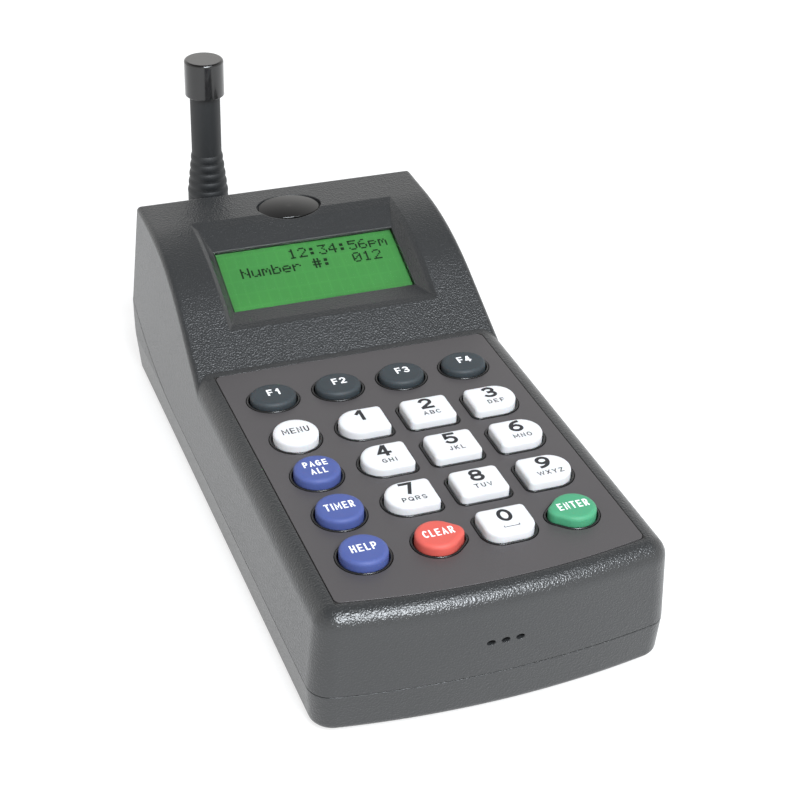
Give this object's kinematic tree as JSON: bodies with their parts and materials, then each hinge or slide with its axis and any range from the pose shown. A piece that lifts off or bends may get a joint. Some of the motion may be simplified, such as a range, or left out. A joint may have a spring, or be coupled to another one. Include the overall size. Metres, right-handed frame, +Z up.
{
  "type": "guest paging transmitter",
  "caption": "Counter-top guest paging transmitter: black moulded case with a keypad deck, a raised head with a green character display, and a stub antenna that swivels on a bayonet jack.",
  "frame": {"origin": "centre of the bounding box on the plane the feet stand on", "axes": "+X to the right of a person at the keys, +Y from the keys to the display and antenna, +Z up"},
  "size_m": [0.1054, 0.2383, 0.1029],
  "materials": {
    "case_plastic": "fine spark texture",
    "overlay_film": "satin printed film",
    "slate_key": "matt silicone",
    "white_key": "matt silicone",
    "blue_key": "matt silicone",
    "red_key": "matt silicone",
    "green_key": "matt silicone",
    "silicone_mat": "matt silicone",
    "board": "green solder mask",
    "chip_plastic": "matt moulded",
    "brass_clip": "bright",
    "cell_steel": "satin",
    "tinned_can": "tinned",
    "white_nylon": "moulded",
    "ribbon_pvc": "satin",
    "clear_window": "clear",
    "black_steel": "satin black",
    "display_cell": "lit green cell",
    "badge_gloss": "polished",
    "nickel_brass": "bright nickel",
    "core_steel": "drawn",
    "antenna_rubber": "satin",
    "cap_gloss": "gloss",
    "inlet_plastic": "moulded",
    "lead_pvc": "satin",
    "screw_steel": "zinc plated",
    "foot_rubber": "matt"
  },
  "bodies": {
    "case": {"upper_case": "case_plastic", "lower_case": "case_plastic", "keypad_overlay": "overlay_film", "keypad_mat": "silicone_mat", "main_board": "board", "display_board": "board", "board_chips": "chip_plastic", "battery_clip": "brass_clip", "clock_battery": "cell_steel", "radio_module": "tinned_can", "ribbon_header": "chip_plastic", "power_header": "white_nylon", "display_ribbon": "ribbon_pvc", "display_window": "clear_window", "display_bezel": "black_steel", "display_glass": "display_cell", "display_backlight": "white_nylon", "badge": "badge_gloss", "sounder": "chip_plastic", "antenna_jack": "nickel_brass", "jack_washer": "nickel_brass", "jack_nut": "nickel_brass", "power_jack": "inlet_plastic", "power_nut": "nickel_brass", "antenna_lead": "lead_pvc", "power_lead": "lead_pvc", "case_screws": "screw_steel", "board_screws": "screw_steel", "display_screws": "screw_steel", "foot_1": "foot_rubber", "foot_2": "foot_rubber", "foot_3": "foot_rubber", "foot_4": "foot_rubber"},
    "key_f1": {"key_f1": "slate_key"},
    "key_f2": {"key_f2": "slate_key"},
    "key_f3": {"key_f3": "slate_key"},
    "key_f4": {"key_f4": "slate_key"},
    "key_side_1": {"key_side_1": "white_key"},
    "key_1": {"key_1": "white_key"},
    "key_2": {"key_2": "white_key"},
    "key_3": {"key_3": "white_key"},
    "key_side_2": {"key_side_2": "blue_key"},
    "key_4": {"key_4": "white_key"},
    "key_5": {"key_5": "white_key"},
    "key_6": {"key_6": "white_key"},
    "key_side_3": {"key_side_3": "blue_key"},
    "key_7": {"key_7": "white_key"},
    "key_8": {"key_8": "white_key"},
    "key_9": {"key_9": "white_key"},
    "key_side_4": {"key_side_4": "blue_key"},
    "key_clear": {"key_clear": "red_key"},
    "key_0": {"key_0": "white_key"},
    "key_enter": {"key_enter": "green_key"},
    "lock_ring": {"bayonet_ring": "nickel_brass"},
    "antenna": {"plug_shell": "nickel_brass", "antenna_core": "core_steel", "antenna_sheath": "antenna_rubber", "antenna_cap": "cap_gloss"}
  },
  "joints": [
    {"name": "press_f1", "type": "slide", "parent": "case", "child": "key_f1", "axis": [0, 0, -1], "range_m": [0, 0.001], "stiffness_N_per_m": 1500},
    {"name": "press_f2", "type": "slide", "parent": "case", "child": "key_f2", "axis": [0, 0, -1], "range_m": [0, 0.001], "stiffness_N_per_m": 1500},
    {"name": "press_f3", "type": "slide", "parent": "case", "child": "key_f3", "axis": [0, 0, -1], "range_m": [0, 0.001], "stiffness_N_per_m": 1500},
    {"name": "press_f4", "type": "slide", "parent": "case", "child": "key_f4", "axis": [0, 0, -1], "range_m": [0, 0.001], "stiffness_N_per_m": 1500},
    {"name": "press_side_1", "type": "slide", "parent": "case", "child": "key_side_1", "axis": [0, 0, -1], "range_m": [0, 0.001], "stiffness_N_per_m": 1500},
    {"name": "press_1", "type": "slide", "parent": "case", "child": "key_1", "axis": [0, 0, -1], "range_m": [0, 0.001], "stiffness_N_per_m": 1500},
    {"name": "press_2", "type": "slide", "parent": "case", "child": "key_2", "axis": [0, 0, -1], "range_m": [0, 0.001], "stiffness_N_per_m": 1500},
    {"name": "press_3", "type": "slide", "parent": "case", "child": "key_3", "axis": [0, 0, -1], "range_m": [0, 0.001], "stiffness_N_per_m": 1500},
    {"name": "press_side_2", "type": "slide", "parent": "case", "child": "key_side_2", "axis": [0, 0, -1], "range_m": [0, 0.001], "stiffness_N_per_m": 1500},
    {"name": "press_4", "type": "slide", "parent": "case", "child": "key_4", "axis": [0, 0, -1], "range_m": [0, 0.001], "stiffness_N_per_m": 1500},
    {"name": "press_5", "type": "slide", "parent": "case", "child": "key_5", "axis": [0, 0, -1], "range_m": [0, 0.001], "stiffness_N_per_m": 1500},
    {"name": "press_6", "type": "slide", "parent": "case", "child": "key_6", "axis": [0, 0, -1], "range_m": [0, 0.001], "stiffness_N_per_m": 1500},
    {"name": "press_side_3", "type": "slide", "parent": "case", "child": "key_side_3", "axis": [0, 0, -1], "range_m": [0, 0.001], "stiffness_N_per_m": 1500},
    {"name": "press_7", "type": "slide", "parent": "case", "child": "key_7", "axis": [0, 0, -1], "range_m": [0, 0.001], "stiffness_N_per_m": 1500},
    {"name": "press_8", "type": "slide", "parent": "case", "child": "key_8", "axis": [0, 0, -1], "range_m": [0, 0.001], "stiffness_N_per_m": 1500},
    {"name": "press_9", "type": "slide", "parent": "case", "child": "key_9", "axis": [0, 0, -1], "range_m": [0, 0.001], "stiffness_N_per_m": 1500},
    {"name": "press_side_4", "type": "slide", "parent": "case", "child": "key_side_4", "axis": [0, 0, -1], "range_m": [0, 0.001], "stiffness_N_per_m": 1500},
    {"name": "press_clear", "type": "slide", "parent": "case", "child": "key_clear", "axis": [0, 0, -1], "range_m": [0, 0.001], "stiffness_N_per_m": 1500},
    {"name": "press_0", "type": "slide", "parent": "case", "child": "key_0", "axis": [0, 0, -1], "range_m": [0, 0.001], "stiffness_N_per_m": 1500},
    {"name": "press_enter", "type": "slide", "parent": "case", "child": "key_enter", "axis": [0, 0, -1], "range_m": [0, 0.001], "stiffness_N_per_m": 1500},
    {"name": "ring_turn", "type": "hinge", "parent": "case", "child": "lock_ring", "pos_m": [-0.0183, 0.0995, 0.0402], "axis": [0, 1, 0], "range_deg": [0, 45]},
    {"name": "antenna_swivel", "type": "hinge", "parent": "case", "child": "antenna", "pos_m": [-0.0183, 0.0995, 0.0402], "axis": [0, 1, 0], "range_deg": [-90, 90]}
  ]
}
